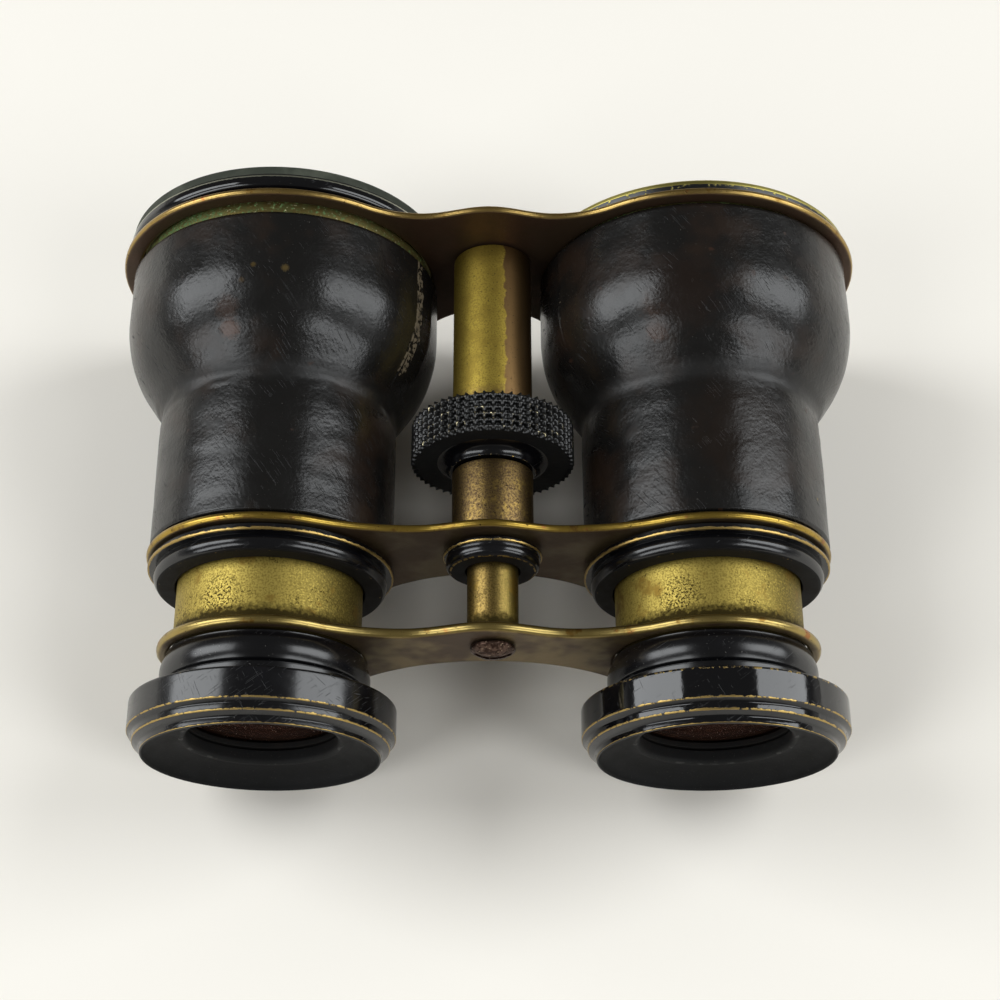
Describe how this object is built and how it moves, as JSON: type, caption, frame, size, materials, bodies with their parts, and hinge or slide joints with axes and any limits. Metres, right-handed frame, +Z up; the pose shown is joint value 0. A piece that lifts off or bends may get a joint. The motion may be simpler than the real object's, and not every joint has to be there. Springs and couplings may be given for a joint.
{
  "type": "field glasses",
  "caption": "Galilean field glasses: leather-covered bell barrels on brass bridges, eyecups on draw tubes, and a central knurled wheel that slides the eyepiece bridge to focus",
  "frame": {"origin": "On the floor under the middle of the bounding box.", "axes": "+X runs across the glasses towards the right barrel, +Y from the eyepieces towards the objectives, +Z up. The glasses lie on the objective bridge and the eyecups, so their optical axes lean 5.1 degrees up from +Y."},
  "size_m": [0.1116, 0.0838, 0.0495],
  "materials": {
    "objective_bridge": "brown patina, rubbed bright at the edges",
    "middle_bridge": "brown patina, rubbed bright at the edges",
    "left_barrel_shell": "spun brass, tarnished",
    "right_barrel_shell": "spun brass, tarnished",
    "left_leather_cover": "black grained leather, worn brown",
    "right_leather_cover": "black grained leather, worn brown",
    "left_objective_bezel": "black lacquer, glossy",
    "right_objective_rim": "rubbed brass with chipped black lacquer",
    "left_objective_crown": "polished",
    "right_objective_crown": "polished",
    "left_objective_flint": "polished",
    "right_objective_flint": "polished",
    "left_objective_retaining_ring": "matt black",
    "right_objective_retaining_ring": "matt black",
    "left_guide_collar": "black lacquer, worn to brass at the edges",
    "right_guide_collar": "black lacquer, worn to brass at the edges",
    "upper_column_tube": "old lacquered brass",
    "lower_column_tube": "old lacquered brass",
    "column_gland": "black lacquer, worn to brass at the edges",
    "column_screw": "browned steel",
    "focus_wheel": "black lacquer, worn to brass at the edges",
    "focus_nut": "old lacquered brass",
    "eyepiece_bridge": "brown patina, rubbed bright at the edges",
    "focus_rod": "bare brass, drawn, mottled",
    "focus_screw": "cut thread, oiled",
    "rod_screw": "browned steel",
    "left_draw_tube": "bare brass, drawn, mottled",
    "right_draw_tube": "bare brass, drawn, mottled",
    "left_eyepiece_neck": "black lacquer, worn to brass at the edges",
    "right_eyepiece_neck": "black lacquer, worn to brass at the edges",
    "left_eyecup": "black lacquer, worn to brass at the edges",
    "right_eyecup": "black lacquer, worn to brass at the edges",
    "left_eye_lens": "polished",
    "right_eye_lens": "polished",
    "left_eye_lens_retaining_ring": "matt black",
    "right_eye_lens_retaining_ring": "matt black"
  },
  "bodies": {
    "barrels": {"objective_bridge": "objective_bridge", "middle_bridge": "middle_bridge", "left_barrel_shell": "left_barrel_shell", "right_barrel_shell": "right_barrel_shell", "left_leather_cover": "left_leather_cover", "right_leather_cover": "right_leather_cover", "left_objective_bezel": "left_objective_bezel", "right_objective_rim": "right_objective_rim", "left_objective_crown": "left_objective_crown", "right_objective_crown": "right_objective_crown", "left_objective_flint": "left_objective_flint", "right_objective_flint": "right_objective_flint", "left_objective_retaining_ring": "left_objective_retaining_ring", "right_objective_retaining_ring": "right_objective_retaining_ring", "left_guide_collar": "left_guide_collar", "right_guide_collar": "right_guide_collar", "upper_column_tube": "upper_column_tube", "lower_column_tube": "lower_column_tube", "column_gland": "column_gland", "column_screw": "column_screw"},
    "focus_wheel": {"focus_wheel": "focus_wheel", "focus_nut": "focus_nut"},
    "eyepieces": {"eyepiece_bridge": "eyepiece_bridge", "focus_rod": "focus_rod", "focus_screw": "focus_screw", "rod_screw": "rod_screw", "left_draw_tube": "left_draw_tube", "right_draw_tube": "right_draw_tube", "left_eyepiece_neck": "left_eyepiece_neck", "right_eyepiece_neck": "right_eyepiece_neck", "left_eyecup": "left_eyecup", "right_eyecup": "right_eyecup", "left_eye_lens": "left_eye_lens", "right_eye_lens": "right_eye_lens", "left_eye_lens_retaining_ring": "left_eye_lens_retaining_ring", "right_eye_lens_retaining_ring": "right_eye_lens_retaining_ring"}
  },
  "joints": [
    {"name": "focus_turn", "type": "hinge", "parent": "barrels", "child": "focus_wheel", "pos_m": [0.00055, 0.00304, 0.0283], "axis": [0, 0.996, 0.0895], "range_deg": [-493, 391]},
    {"name": "eyepiece_slide", "type": "slide", "parent": "barrels", "child": "eyepieces", "axis": [0, 0.996, 0.0895], "range_m": [-0.0065, 0.0082]}
  ],
  "couplings": [
    {"joint": "focus_turn", "follows": "eyepiece_slide", "rad_per_m": -1047.2}
  ]
}
